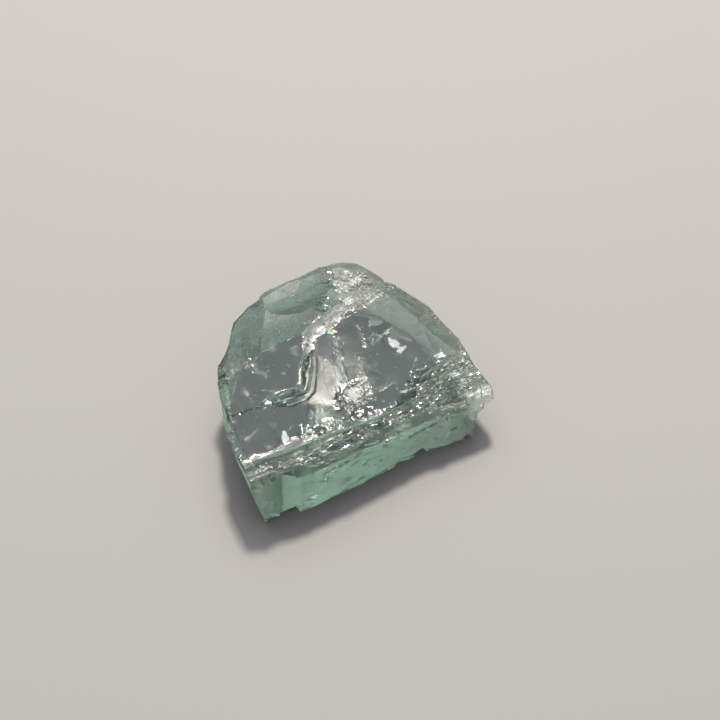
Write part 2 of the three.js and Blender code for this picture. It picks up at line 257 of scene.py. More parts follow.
# %% Ellipses on the plan
# Each has a centre, a reach along and across, a turn in degrees and, for some, the softness of its edge.
BRUISE = ((0.0, -2.6), (0.85, 0.65), 20, 0.6)
LEFT_STRIP = ((-4.7, 1.7), (1.6, 0.55), 50)
BROKEN_CORNER = ((3.3, 3.6), (1.2, 0.85), 15, 0.3)
LEFT_VEIL = ((-5.5, -4.5), (1.3, 0.6), -10)
FRONT_VEIL = ((-3.2, -4.3), (2.4, 0.5), 5)
RIGHT_END = ((4.9, -3.4), (1.9, 1.2), -8)
CREAM = ((-1.0, -1.0), (0.95, 1.4), -14, 0.6)
CREAM_ROUND = ((0.5, -0.6), (1.5, 2.4), -10, 0.6)
DIPS = [  # centre, reach, turn in degrees, depth
    ((2.6, -3.95), (0.8, 0.42), 14, 0.34), ((3.9, -2.95), (0.45, 0.26), 30, 0.18),
    ((5.0, -3.75), (0.6, 0.22), 0, 0.16), ((4.5, -4.5), (0.8, 0.2), 5, 0.16),
    ((-1.7, -4.72), (0.8, 0.17), 5, 0.14), ((0.4, -4.62), (0.6, 0.16), 0, 0.12),
]
DIP_EDGE = 0.1
print("deepest dip, mm:", max(depth for *_, depth in DIPS))


# %% Soft marks
def smoothstep(low, high, value):
    """0 below low, 1 above high, and a soft slope between them."""
    t = min(max((value - low) / (high - low), 0.0), 1.0)
    return t * t * (3 - 2 * t)


def patch(p, centre, reach, turn=0.0, soft=0.5):
    """1 inside an ellipse on the plan, falling to 0 at its ragged edge."""
    x, y = p.x - centre[0], p.y - centre[1]
    c, s = math.cos(math.radians(turn)), math.sin(math.radians(turn))
    u, v = (x * c + y * s) / reach[0], (-x * s + y * c) / reach[1]
    ragged = 0.25 * noise.noise(Vector((p.x * 1.3, p.y * 1.3, 4.0)))
    return 1 - smoothstep(1 - soft, 1 + soft, math.hypot(u, v) + ragged)


def beside(p, path, reach):
    """1 on a path on the plan, falling to 0 at a ragged distance."""
    here = Vector((p.x, p.y))
    nearest = math.inf
    for start, end in zip(path, path[1:]):
        a, b = Vector(start), Vector(end)
        t = min(max((here - a).dot(b - a) / (b - a).length_squared, 0.0), 1.0)
        nearest = min(nearest, (here - a.lerp(b, t)).length)
    ragged = 0.35 * noise.noise(Vector((p.x * 3.1, p.y * 3.1, 9.0)))
    return 1 - smoothstep(0.5, 1.3, nearest / reach + ragged)


def blotches(p):
    """Soft clouds, 0 to 1."""
    return smoothstep(0.0, 0.6, noise.fractal(Vector((p.x * 0.9, p.y * 0.9, 3.0)), 0.8, 2.0, 4))


print("the bruise at its middle:", round(patch(Vector((0.0, -2.6, 0.0)), *BRUISE), 2))


# %% Every zone at a point
def dip_at(p):
    """Small planes that lean to the front, where a flake has split off: their share and their depth."""
    share, deepest = 0.0, 0.0
    for centre, reach, turn, depth in DIPS:
        inside = patch(p, centre, reach, turn, DIP_EDGE)
        if inside > 0:
            lean = max(0.0, 0.5 - 0.5 * (p.y - centre[1]) / reach[1])
            share, deepest = max(share, inside), max(deepest, inside * depth * lean)
    return share, deepest


def zones(p):
    """How strongly each kind of surface shows at a point of the top, and how deep a dip is there."""
    bruise, corner = patch(p, *BRUISE), patch(p, *BROKEN_CORNER)
    band = beside(p, BAND, BAND_REACH)
    dip, sunk = dip_at(p)
    whole = 1 - dip  # inside a dip the surface is calm
    ledge = beside(p, LEDGE, LEDGE_REACH) * smoothstep(*LEDGE_STARTS, p.x)
    veil = max(patch(p, *LEFT_VEIL), beside(p, HAZE, HAZE_REACH), 0.6 * patch(p, *FRONT_VEIL))
    front = max(1 - smoothstep(*FRONT_ENDS, p.y), patch(p, *RIGHT_END)) * whole
    rim = smoothstep(*RIM_STARTS, p.x + RIM_SLANT * p.y)
    light = smoothstep(-0.5, 0.5, noise.fractal(Vector((p.x * 0.9, p.y * 2.2, 6.0)), 0.8, 2.0, 2))
    cloudy_rim = 0.55 * rim * (1 - front) * (0.5 + blotches(p * 1.3))
    return {
        "front": front * (0.4 + 0.6 * light),  # stepped strips
        "lane": max(beside(p, path, reach) for path, reach in LANES),  # bright lines of the second cleavage
        "silk": max(corner, band, 0.7 * ledge * whole, 0.8 * bruise, 0.6 * veil),  # fine broken facets
        "chip": max(0.6 * patch(p, *LEFT_STRIP), 0.7 * rim),  # chipped rims
        "crush": max(bruise, 0.5 * corner, 0.25 * ledge * whole),  # coarse crushed facets
        "satin": max(patch(p, *CREAM), 0.4 * patch(p, *CREAM_ROUND), cloudy_rim),  # soft sheen
        "veil": veil,  # dull haze
        "sunk": sunk,
    }


print("zones at the corner:", {k: round(v, 2) for k, v in zones(Vector((3.3, 3.6, 4.0))).items()})

# %% [markdown]
# ## Relief of the top
#
# Growth leaves fine lines that run one way, and splitting leaves small flat planes, each tipped a little.
# The lines are a noise stretched along one direction, cut into a stair. The planes are the cells of a
# Voronoi pattern, each a slope of its own. Shingles are cells that lean to the front and end in a step.
# All of it only digs inwards, so the crystal never grows out of its measured box.

# %% Lines and stairs
def turned(p, angle):
    """How far a point lies along and across a direction on the plan."""
    along = p.x * math.cos(angle) + p.y * math.sin(angle)
    across = -p.x * math.sin(angle) + p.y * math.cos(angle)
    return along, across


def streaks(p, angle, fine, long, seed):
    """Lines along a direction, 0 to 1: fine is their width, long is their length."""
    along, across = turned(p, angle)
    return 0.5 + 0.5 * noise.noise(Vector((along / long, across / fine, seed)))


def terraces(value, levels):
    """A stair instead of a slope, with short steep risers."""
    scaled = value * levels
    low = math.floor(scaled)
    return (low + smoothstep(0.75, 1.0, scaled - low)) / levels


print("a slope of 0.35, 0.38 and 0.41 as a stair:", [round(terraces(v, 5), 2) for v in (0.35, 0.38, 0.41)])


# %% Small planes
MIDDLE = Vector((0.5, 0.5, 0.5))


def facets(p, angle, fine, long, seed):
    """Small flat facets, each tipped its own way, like split crystal: about 0 to 1."""
    along, across = turned(p, angle)
    place = Vector((along / long, across / fine, seed + p.z / fine * 0.6))
    cell = noise.voronoi(place)[1][0]
    tip = noise.cell_vector(cell * 91.7) - MIDDLE
    return 0.5 + 1.3 * (place - cell).dot(tip) + 0.5 * tip.z


def shingles(p, fine, long, seed, lean):
    """Overlapping flakes that tip towards the front, each ending in a small step."""
    place = Vector((p.x / long, p.y / fine, p.z / fine + seed))
    cell = noise.voronoi(place)[1][0]
    spin = noise.cell_vector(cell * 57.3) - MIDDLE
    off = place - cell
    return max(0.0, 0.5 - lean * (0.5 + spin.z) * off.y + 0.6 * spin.x * off.x + 0.4 * spin.y)


print("a facet's height:", round(facets(Vector((1, 1, 3)), 0.3, 0.13, 0.8, 2.0), 2))


# %% Depth of the top
def top_relief(p, zone):
    """How deep the top is cut at a point, in millimetres: each pattern has a depth of its own."""
    growth = 0.08 * terraces(streaks(p, 0, 0.22, 3.0, 3.3), 5)
    flakes = 0.1 * shingles(p, 0.32, 2.2, 2.0, 0.9)
    fine = 0.02 * streaks(p, 0, 0.13, 1.2, 1.7)
    cross = 0.0025 * streaks(p, B_ANGLE, 0.16, 0.7, 7.1)
    calm = 0.012 * streaks(p, 0.3, 1.2, 1.8, 5.1)
    silk = 0.028 * facets(p, 0.3, 0.13, 0.8, 2.0)
    chip = 0.014 * facets(p, 1.0, 0.25, 0.5, 3.0)
    crush = 0.05 * facets(p, 0.4, 0.3, 0.45, 6.0)
    return (
        calm + zone["sunk"] + zone["front"] * (growth + flakes + fine) + zone["lane"] * cross
        + zone["silk"] * silk + zone["chip"] * chip + zone["crush"] * crush
    )


spot = Vector((4.9, -3.4, 3.4))
print("depth at the right end, mm:", round(top_relief(spot, zones(spot)), 3))

# %% [markdown]
# ## Relief of the walls
#
# The sides broke rather than split, so they are wavy, with low planes, and the front one has shallow
# hollows whose floors lean back and catch the light from above.

# %% Hollows of the front wall
PITS = [  # x, z, half width, half height
    (-2.85, 1.98, 0.32, 0.16), (0.21, 1.1, 0.3, 0.2), (-3.6, 0.75, 0.3, 0.14), (-1.5, 2.75, 0.6, 0.14),
    (-2.5, 2.55, 0.5, 0.12), (2.42, 2.1, 0.45, 0.12), (3.5, 2.3, 0.5, 0.1), (-0.6, 1.7, 0.25, 0.1),
]
PIT_SKEW = 0.25  # they rise to the right
PIT_DEPTH, PIT_LEAN = 0.04, 0.55


def pit_at(p):
    """How deep a small hollow of the front wall is: each leans back, so that it faces up."""
    deepest = 0.0
    for x, z, wide, high in PITS:
        u, w = (p.x - x) / wide, (p.z - z - PIT_SKEW * (p.x - x)) / high
        inside = 1 - smoothstep(0.9, 1.15, math.hypot(u, w) + 0.5 * noise.noise(p * 3.3))
        deepest = max(deepest, inside * (PIT_DEPTH + PIT_LEAN * high * max(0.0, 1 + w)))
    return deepest


print("the second hollow's middle, mm deep:", round(pit_at(Vector((0.21, -5.3, 1.1))), 3))


# %% Depth of the walls
def wall_relief(p, n, pit):
    """How deep a side is cut at a point, in millimetres."""
    front = smoothstep(0.3, 0.7, -n.y)
    swirl = 0.05 * (0.5 + 0.5 * noise.fractal(p * 0.8, 0.9, 2.0, 2))
    plane = 0.03 * facets(p, 0, 1.4, 1.9, 4.4)
    split = 0.11 * facets(p, 0, 0.5, 1.0, 4.4)
    rib = 0.05 * shingles(Vector((p.x, p.z, p.y * 0.3)), 0.5, 1.2, 5.0, 1.0)
    return swirl + (1 - front) * plane + front * (split + rib + pit)


back_wall = wall_relief(Vector((0, 5, 2)), Vector((0, 1, 0)), 0.0)
print("depth at the back, mm:", round(back_wall, 3))

# %% [markdown]
# ## Dull and clear places
#
# The windows of the crystal are dark because the eye looks down through a smooth top and a smooth base.
# The milky green around them comes from places where the base or a wall is dull and scatters the light.
# The dullness is worked out here for each vertex and becomes the roughness of the glass.

# %% The base
BASE_MARKS = [((3.8, 0.63), (0.28, 0.6), 12), ((-3.9, -1.8), (0.2, 0.5), 15)]
CLEAR_WINDOW = ((4.2, 0.6), (1.5, 2.75), -17, 0.12)
DULL_ROUND = ((4.4, 1.7), (3.0, 3.6), -17, 0.2)


def base_haze(p):
    """Where the base is dull: small marks, and all that lies round the clear window on the right."""
    marks = max(patch(p, *mark, 0.25) for mark in BASE_MARKS)
    around = patch(p, *DULL_ROUND) * (1 - patch(p, *CLEAR_WINDOW))
    return marks, around


print("base marks:", len(BASE_MARKS))

# %% How dull each place is
DULLNESS = {"front": 0.22, "lane": 0.18, "silk": 0.38, "chip": 0.15, "satin": 0.36, "veil": 0.5}
POLISHED, CLOUDS = 0.02, 0.085  # the calm top, and the soft clouds on it
MARK_DULLNESS, ROUND_DULLNESS = 0.7, 0.85  # the base: its small marks, and round the window
EDGE_DULLNESS = 0.15  # the rounded edge between the top and a wall
WALL_DULLNESS, BROKEN_WALL_DULLNESS = 0.28, 0.38
PIT_POLISH = 0.55  # the share of the dullness that a hollow loses
DEEP_PIT = 0.05  # a hollow loses all of that share from this depth on


def wall_dullness(p, n):
    """The back stays fairly clear; the right and the front are broken more roughly."""
    right = smoothstep(0.1, 0.5, n.x)
    front = smoothstep(-0.25, 0.1, -n.y) * (0.7 + 0.3 * blotches(p * 1.6))
    return WALL_DULLNESS + BROKEN_WALL_DULLNESS * max(right, front)


def frost_of(p, n, zone, top, base, wall, haze, pit):
    """The roughness at a point, mixed from how much it belongs to the top, the base and a wall."""
    marks, around = haze
    of_top = max(POLISHED + CLOUDS * blotches(p), *(dull * zone[name] for name, dull in DULLNESS.items()))
    of_base = POLISHED + MARK_DULLNESS * marks + ROUND_DULLNESS * around
    of_wall = wall * wall_dullness(p, n) * (1 - PIT_POLISH * smoothstep(0.0, DEEP_PIT, pit))
    edge = 4 * top * (1 - top)
    return of_wall + top * of_top + EDGE_DULLNESS * edge + base * of_base


print("dullest zone of the top:", max(DULLNESS, key=DULLNESS.get))

# %% [markdown]
# ## Carving
#
# Every vertex is moved inwards along its normal by the depth of its zone. The walls of the open cracks are
# left alone, and a vertex that would end outside the solid is put back on it. The marks are stored as
# attributes of the mesh, where the material can read them.

# %% Carve the crystal
LAYERS = ("frost", "lines_a", "lines_b", "shatter")  # dullness, growth lines, crossing lines, broken cells
BASE_RELIEF = 0.06
ON_THE_SOLID = 0.004  # a vertex farther from the solid than this lies in an open crack
OUTSIDE = 0.002  # a vertex that stands out of the solid by more than this is put back
FACING = (0.6, 0.95)  # a wall turns into the top or the base between these heights of its normal
FRONT_WALL = -0.3  # a normal that points to the front by more than this belongs to the front wall
FAINT = 0.05  # how strongly the lines show where their own zone doesn't reach


def depth_and_marks(v):
    """How deep a vertex is cut, and the four values that the material reads."""
    p, n = v.co, v.normal
    top, base = smoothstep(*FACING, n.z), smoothstep(*FACING, -n.z)
    wall = 1 - max(top, base)
    zone, haze = zones(p), base_haze(p)
    pit = pit_at(p) if n.y < FRONT_WALL else 0.0
    of_base = base * max(haze) * facets(p, 0.8, 0.35, 0.5, 8.0) * BASE_RELIEF
    depth = top * top_relief(p, zone) + wall * wall_relief(p, n, pit) + of_base
    if surface.find_nearest(p)[3] > ON_THE_SOLID:
        depth = 0.0
    marks = (
        frost_of(p, n, zone, top, base, wall, haze, pit),
        top * (FAINT + 0.95 * zone["front"]) + FAINT * wall,
        top * (FAINT + 0.9 * zone["lane"] + 0.25 * zone["satin"]),
        top * max(0.6 * zone["silk"], zone["crush"]) + 0.03 * wall,
    )
    return max(depth, 0.0), marks


def carve(piece):
    """Moves every vertex inwards by its depth and stores its marks on the mesh."""
    work = bmesh.new()
    work.from_mesh(piece.data)
    work.normal_update()
    layers = [work.verts.layers.float.new(name) for name in LAYERS]
    moved = []
    for v in work.verts:
        depth, marks = depth_and_marks(v)
        moved.append(v.co - v.normal * depth)
        for layer, mark in zip(layers, marks):
            v[layer] = mark
    put_back = 0
    for v, place in zip(work.verts, moved):
        nearest, facing = surface.find_nearest(place)[:2]
        outside = (place - nearest).dot(facing) > OUTSIDE
        put_back += outside
        v.co = nearest if outside else place
    print("put back on the solid:", put_back, "of", len(moved), "corners")
    work.to_mesh(piece.data)
    work.free()


carve(crystal)

# %% [markdown]
# ## Cracks inside
#
# Light that enters the crystal glitters on thin cracks in it. Each is a flat void: a sphere pressed thin,
# with a ragged rim and its faces turned inwards, which is how glass shows a hollow. They lie in swarms that
# follow the lanes, the stepped front and the bruise. A void that would reach the surface is left out.

# %% One crack
VOID_THICK = 0.012
BIG_VOID = 0.09  # a void wider than this has a finer rim
VOID_COVER = 0.03  # a void with less crystal than this over any corner is left out

random.seed(11)
carved = BVHTree.FromPolygons(
    [v.co for v in crystal.data.vertices], [polygon.vertices for polygon in crystal.data.polygons]
)


def buried(place, depth):
    """Whether a point lies inside the crystal, deeper than this."""
    nearest, facing = carved.find_nearest(place)[:2]
    return (place - nearest).dot(facing) < -depth


def void(work, centre, facing, radius, stretch, along):
    """A thin flat void with a ragged rim, its faces turned inwards."""
    fineness = 3 if radius > BIG_VOID else 2
    made = bmesh.ops.create_icosphere(work, subdivisions=fineness, radius=1.0)["verts"]
    tilt = Vector(facing).to_track_quat("Z", "X").to_matrix()
    spin = Matrix.Rotation(math.radians(along), 3, "Z")
    seed = random.uniform(0, 90)
    for v in made:
        p = v.co
        ragged = 1 + 0.5 * noise.noise(Vector((p.x * 1.5, p.y * 1.5, seed)))
        wave = 0.10 * noise.noise(Vector((p.x * 1.2, p.y * 1.2, seed + 5)))
        across = Vector((p.x * radius * stretch * ragged, p.y * radius * ragged, 0))
        across.z = p.z * VOID_THICK + wave * radius
        v.co = Vector(centre) + tilt @ (spin @ across)
    if not all(buried(v.co, VOID_COVER) for v in made):
        bmesh.ops.delete(work, geom=made, context="VERTS")
        return
    faces = list({face for v in made for face in v.link_faces})
    bmesh.ops.reverse_faces(work, faces=faces)


print("the middle of the crystal is buried:", buried(Vector((0, 0, 2)), VOID_COVER))

# %% Where the cracks lie
SWARMS = [  # how many, box of places, box of facings, radius, stretch, angle of the long side
    (
        70, (-4.5, -4.8, 1.6), (5.8, -3.6, 3.0), (-0.2, -1.2, 0.2), (0.2, -0.4, 0.9),
        (0.03, 0.1), (3, 9), (80, 100),
    ),
    (
        36, (-1.8, -3.6, 2.7), (1.4, -1.8, 3.5), (-0.8, -0.8, 0.4), (0.8, 0.8, 1),
        (0.02, 0.065), (1, 2), (0, 180),
    ),
    (
        26, (-6.7, -5.3, 0.4), (-5.9, -4.4, 2.8), (-1, -0.8, -0.2), (-0.6, -0.4, 0.6),
        (0.05, 0.16), (1.5, 4), (0, 180),
    ),
    (
        90, (-6.0, -3.6, 1.2), (4.5, 2.0, 3.4), (-0.6, -1.2, 0.3), (0.6, 0.2, 1),
        (0.02, 0.05), (1, 4), (0, 180),
    ),
    (
        30, (-6.0, -5.1, 0.6), (5.5, -4.8, 2.4), (-0.9, -1, -0.6), (0.9, -1, 0.6),
        (0.03, 0.10), (2, 5), (0, 180),
    ),
]
LANE_CRACKS = 22
LANE_START, LANE_RUN = (0.75, 0.9), (0.9, 2.6)  # from here, this far to the left and to the front
LANE_SWAY = 0.25
LANE_HEIGHTS = (2.4, 3.4)
LANE_FACINGS = ((0.5, -0.25, 0.3), (1.2, 0.0, 0.9))
LANE_RADIUS, LANE_STRETCH, LANE_TURN = (0.03, 0.09), (3, 7), 90


def between(low, high):
    """A random point between two corners of a box."""
    return tuple(random.uniform(a, b) for a, b in zip(low, high))


def lane_cracks(work):
    """Upright cracks under the first lane, which follow it down to the front."""
    for _ in range(LANE_CRACKS):
        t = random.random()
        x = LANE_START[0] - LANE_RUN[0] * t + random.uniform(-LANE_SWAY, LANE_SWAY)
        spot = (x, LANE_START[1] - LANE_RUN[1] * t, random.uniform(*LANE_HEIGHTS))
        facing = between(*LANE_FACINGS)
        void(work, spot, facing, random.uniform(*LANE_RADIUS), random.uniform(*LANE_STRETCH), LANE_TURN)


def swarm(work, count, low, high, facing_low, facing_high, radius, stretch, angle):
    """Many small cracks in one box, each with a size and a turn of its own."""
    for _ in range(count):
        spot, facing = between(low, high), between(facing_low, facing_high)
        void(work, spot, facing, random.uniform(*radius), random.uniform(*stretch), random.uniform(*angle))


def cracks():
    """All the cracks inside, in one mesh."""
    work = bmesh.new()
    lane_cracks(work)
    for values in SWARMS:
        swarm(work, *values)
    mesh = bpy.data.meshes.new("cracks")
    work.to_mesh(mesh)
    work.free()
    return mesh


voids = cracks()
print("cracks inside:", len(voids.polygons), "faces")

# %% Join them and smooth
SHARP_FROM = math.radians(9)  # an edge that turns more than this stays crisp


def join_into(piece, mesh):
    """Adds the faces of a mesh to the piece."""
    work = bmesh.new()
    work.from_mesh(piece.data)
    work.from_mesh(mesh)
    work.to_mesh(piece.data)
    work.free()


join_into(crystal, voids)
crystal.data.transform(Matrix.Scale(MM, 4))
for polygon in crystal.data.polygons:
    polygon.use_smooth = True
crystal.data.set_sharp_from_angle(angle=SHARP_FROM)
print("triangles:", sum(len(polygon.vertices) - 2 for polygon in crystal.data.polygons))

# %% [markdown]
# ## Glass that takes its colour from its depth
#
# The stone has no painted colour. It lets light through and swallows a little red on the way, so thick
# places are greener than thin ones: a Principled shader with full transmission for the surface and a
# volume absorption for the inside. Phosphophyllite bends light by 1.60. The marks that were stored while
# carving set the roughness, and lines too fine for the mesh are a bump that only tips the reflections.

# %% Nodes for the fine lines
def attribute(tree, name):
    """A value that was stored on the mesh while carving."""
    node = tree.nodes.new("ShaderNodeAttribute")
    node.attribute_name = name
    return node.outputs["Fac"]


def math_node(tree, operation, first, second):
    """One sum or product; each side is a socket or a plain number."""
    node = tree.nodes.new("ShaderNodeMath")
    node.operation = operation
    for socket, value in zip(node.inputs, (first, second)):
        if isinstance(value, (int, float)):
            socket.default_value = value
        else:
            tree.links.new(value, socket)
    return node.outputs["Value"]


def stretched(tree, coordinates, size, angle=0.0):
    """The coordinates turned and divided by a size in millimetres."""
    mapping = tree.nodes.new("ShaderNodeMapping")
    mapping.vector_type = "TEXTURE"
    mapping.inputs["Rotation"].default_value = (0, 0, angle)
    mapping.inputs["Scale"].default_value = tuple(MM * s for s in size)
    tree.links.new(coordinates, mapping.inputs["Vector"])
    return mapping.outputs["Vector"]


def streak_noise(tree, coordinates, angle, size, detail=3):
    """A noise drawn out along one direction."""
    texture = tree.nodes.new("ShaderNodeTexNoise")
    texture.inputs["Scale"].default_value = 1
    texture.inputs["Detail"].default_value = detail
    tree.links.new(stretched(tree, coordinates, size, angle), texture.inputs["Vector"])
    return texture.outputs["Fac"]


def cell_noise(tree, coordinates, size):
    """How far each place is from the middle of its cell."""
    texture = tree.nodes.new("ShaderNodeTexVoronoi")
    texture.inputs["Scale"].default_value = 1
    tree.links.new(stretched(tree, coordinates, size), texture.inputs["Vector"])
    return texture.outputs["Distance"]


# %% Bump and roughness
LINE_SIZE, CROSS_SIZE, CELL_SIZE = (1.4, 0.10, 0.12), (1.1, 0.09, 0.5), (0.16, 0.16, 0.16)
MOTTLE_SIZE, MOTTLE_ANGLE = (0.5, 0.25, 0.4), 0.2
BUMP_HEIGHT, BUMP_STRENGTH = 0.04 * MM, 0.8
CELL_SHARE = 1.5  # the broken cells stand higher than the lines


def fine_lines(tree, place):
    """A bump of growth lines, crossing lines and broken cells, each where its attribute says."""
    lines = streak_noise(tree, place, 0, LINE_SIZE)
    crossing = streak_noise(tree, place, B_ANGLE, CROSS_SIZE)
    cells = cell_noise(tree, place, CELL_SIZE)
    height = math_node(tree, "MULTIPLY", lines, attribute(tree, "lines_a"))
    crossing = math_node(tree, "MULTIPLY", crossing, attribute(tree, "lines_b"))
    cells = math_node(tree, "MULTIPLY", cells, attribute(tree, "shatter"))
    height = math_node(tree, "ADD", height, crossing)
    height = math_node(tree, "ADD", height, math_node(tree, "MULTIPLY", cells, CELL_SHARE))
    bump = tree.nodes.new("ShaderNodeBump")
    bump.inputs["Strength"].default_value = BUMP_STRENGTH
    bump.inputs["Distance"].default_value = BUMP_HEIGHT
    tree.links.new(height, bump.inputs["Height"])
    return bump.outputs["Normal"]


def mottled_frost(tree, place):
    """The carved dullness, made a little more here and less there."""
    mottle = streak_noise(tree, place, MOTTLE_ANGLE, MOTTLE_SIZE, 5)
    return math_node(tree, "MULTIPLY", attribute(tree, "frost"), math_node(tree, "ADD", mottle, 0.5))


print("bump height, mm:", BUMP_HEIGHT / MM)


# %% The glass
ABSORB = (0.45, 0.85, 0.68, 1)  # green passes best, then blue, then red
DENSITY = 100  # per metre
BEND = 1.6


def crystal_glass():
    """Clear rough glass on the outside, and a tint that grows with the depth on the inside."""
    material = bpy.data.materials.new("phosphophyllite")
    material.use_nodes = True
    tree = material.node_tree
    glass = tree.nodes["Principled BSDF"]
    glass.inputs["Base Color"].default_value = (1, 1, 1, 1)
    glass.inputs["Transmission Weight"].default_value = 1
    glass.inputs["IOR"].default_value = BEND
    place = tree.nodes.new("ShaderNodeTexCoord").outputs["Object"]
    tree.links.new(fine_lines(tree, place), glass.inputs["Normal"])
    tree.links.new(mottled_frost(tree, place), glass.inputs["Roughness"])
    depth = tree.nodes.new("ShaderNodeVolumeAbsorption")
    depth.inputs["Color"].default_value = ABSORB
    depth.inputs["Density"].default_value = DENSITY
    tree.links.new(depth.outputs["Volume"], tree.nodes["Material Output"].inputs["Volume"])
    return material


crystal.data.materials.append(crystal_glass())
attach(crystal, "root")
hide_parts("crystal")
print("glass nodes:", len(crystal.data.materials[0].node_tree.nodes))

# %% [markdown]
# ## Crushed flakes
#
# Where the crystal was knocked, its surface is crushed to tiny white splinters. They are too small for the
# carved mesh, so each is a low cone with a few sides, squeezed and tipped at random and half sunk into the
# surface. A spot is dropped from above on the carved crystal, so the flakes follow every step.

# %% Where the flakes lie
FLAKE_FIELDS = [  # how many, centre, reach, turn, size, course
    (230, (0.1, -2.45), (0.6, 0.42), 20, 0.08, None),
    (150, (0.15, -2.42), (0.36, 0.24), 20, 0.085, None),
    (60, (0.3, -2.9), (1.3, 0.5), 10, 0.05, None),
    (150, (3.2, 3.55), (0.95, 0.6), 15, 0.085, 0.5),
    (40, (-5.9, -4.5), (0.6, 0.35), -20, 0.06, 0.0),
    (30, (5.9, -3.3), (0.7, 0.5), 0, 0.06, 0.1),
    (24, (-5.2, 1.0), (0.4, 1.2), -40, 0.04, B_ANGLE),
]
LEFT_EDGE = [
    (-6.75, -4.5), (-6.66, -3.7), (-6.6, -3.0), (-6.5, -2.25), (-6.2, -1.5), (-5.95, -0.75), (-5.7, 0.0),
    (-5.25, 0.9),
]
RIGHT_EDGE = [(6.7, -3.9), (6.45, -3.0), (6.45, -1.5), (6.2, 0.0), (5.9, 1.5), (5.5, 2.25)]
FLAKE_PATHS = [  # how many, path, reach, size, course
    (120, BAND, 0.16, 0.06, 0.4), (60, LEDGE, 0.14, 0.045, 0.0), (20, RISER_TURN, 0.08, 0.04, B_ANGLE),
    (40, LEFT_EDGE, 0.06, 0.045, 1.4), (26, RIGHT_EDGE, 0.06, 0.045, 1.6),
    (55, LANES[0][0], 0.1, 0.05, B_ANGLE), (20, LANES[1][0], 0.05, 0.05, B_ANGLE),
    (10, LANES[2][0], 0.04, 0.04, B_ANGLE),
]
STEADY, LOOSE = 0.15, 0.5  # how far a flake turns from its course, in radians
LOOSE_COURSES = (0.3, B_ANGLE)  # a flake with no course of its own takes one of these


def spots_in_fields():
    """Random spots in ellipses on the plan: x, y, size, course."""
    spots = []
    for count, centre, reach, turn, size, course in FLAKE_FIELDS:
        c, s = math.cos(math.radians(turn)), math.sin(math.radians(turn))
        for _ in range(count):
            r, a = random.random() ** 1.1, random.uniform(0, 2 * math.pi)
            u, v = r * reach[0] * math.cos(a), r * reach[1] * math.sin(a)
            spots.append((centre[0] + u * c - v * s, centre[1] + u * s + v * c, size, course))
    return spots


def spots_on_paths():
    """Random spots beside paths on the plan: x, y, size, course."""
    spots = []
    for count, path, reach, size, course in FLAKE_PATHS:
        for _ in range(count):
            at = random.uniform(0, len(path) - 1.001)  # ends just short of the last point
            start, end = Vector(path[int(at)]), Vector(path[int(at) + 1])
            spot = start.lerp(end, at % 1) + Vector((random.gauss(0, reach), random.gauss(0, reach)))
            spots.append((spot.x, spot.y, size, course))
    return spots


flake_spots = spots_in_fields() + spots_on_paths()
print("spots for flakes:", len(flake_spots))

# %% Make them
FLAKE_STRETCH = (1.2, 2.4)
FLAKE_SQUEEZE = 0.25  # how far a corner may move, in radii
FLAKE_LEAN = 0.35


def flake(work, spot, normal, radius, turn):
    """One splinter: a low cone with a flat tip, squeezed at random."""
    longer = random.uniform(*FLAKE_STRETCH)
    made = bmesh.ops.create_cone(
        work, cap_ends=True, segments=random.choice((4, 5, 6)),
        radius1=radius, radius2=radius * 0.6, depth=radius * 0.4,
    )["verts"]
    for v in made:
        squeeze = Vector((random.uniform(-1, 1), random.uniform(-1, 1), random.uniform(-1, 1)))
        v.co += squeeze * radius * FLAKE_SQUEEZE
        v.co.x *= longer
    lean = Vector((random.uniform(-1, 1), random.uniform(-1, 1), 0)) * FLAKE_LEAN
    facing = (normal + lean).to_track_quat("Z", "X").to_matrix().to_4x4()
    place = Matrix.Translation(spot) @ facing @ Matrix.Rotation(turn, 4, "Z")
    bmesh.ops.transform(work, matrix=place, verts=made)


def finished(name, work):
    """The piece that a bmesh in millimetres holds, in metres."""
    bmesh.ops.scale(work, vec=Vector((MM, MM, MM)), verts=work.verts)
    mesh = bpy.data.meshes.new(name)
    work.to_mesh(mesh)
    work.free()
    print(name, len(mesh.polygons), "faces")
    return placed(name, mesh)


def flakes(spots):
    """A splinter on every spot that lies on the crystal."""
    work = bmesh.new()
    for x, y, size, course in spots:
        hit, normal = carved.ray_cast(Vector((x, y, ABOVE)), DOWN)[:2]
        if hit is None:
            continue
        radius = size * (0.25 + 0.85 * random.random() ** 2)  # many small ones, few large
        lay = course if course is not None else random.choice(LOOSE_COURSES)
        flake(work, hit, normal, radius, lay + random.gauss(0, STEADY if course is not None else LOOSE))
    return finished("crushed_flakes", work)


dust = flakes(flake_spots)

# %% Crushed white
CRUSHED_WHITE = (0.72, 0.76, 0.73, 1)


def uncoloured(name, roughness, metallic=0):
    """A plain material whose colour is still open."""
    material = bpy.data.materials.new(name)
    material.use_nodes = True
    shade = material.node_tree.nodes["Principled BSDF"]
    shade.inputs["Roughness"].default_value = roughness
    shade.inputs["Metallic"].default_value = metallic
    return material


def plain_material(name, colour, roughness, metallic=0):
    """A plain material of one colour."""
    material = uncoloured(name, roughness, metallic)
    material.node_tree.nodes["Principled BSDF"].inputs["Base Color"].default_value = colour
    return material


dust.data.materials.append(plain_material("crushed_white", CRUSHED_WHITE, 0.25))
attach(dust, "root")
print("flakes wear:", dust.data.materials[0].name)

# %% [markdown]
# ## Silvery cleavage under the surface
#
# A cleavage crack that has not reached the surface is filled with air and shines like foil. A bare gap in
# the glass would only shine where it faces a lamp exactly, so it is made of thin overlapping plates with a
# rough metal sheen, a little under the top. The silky band at the step gets most of them.

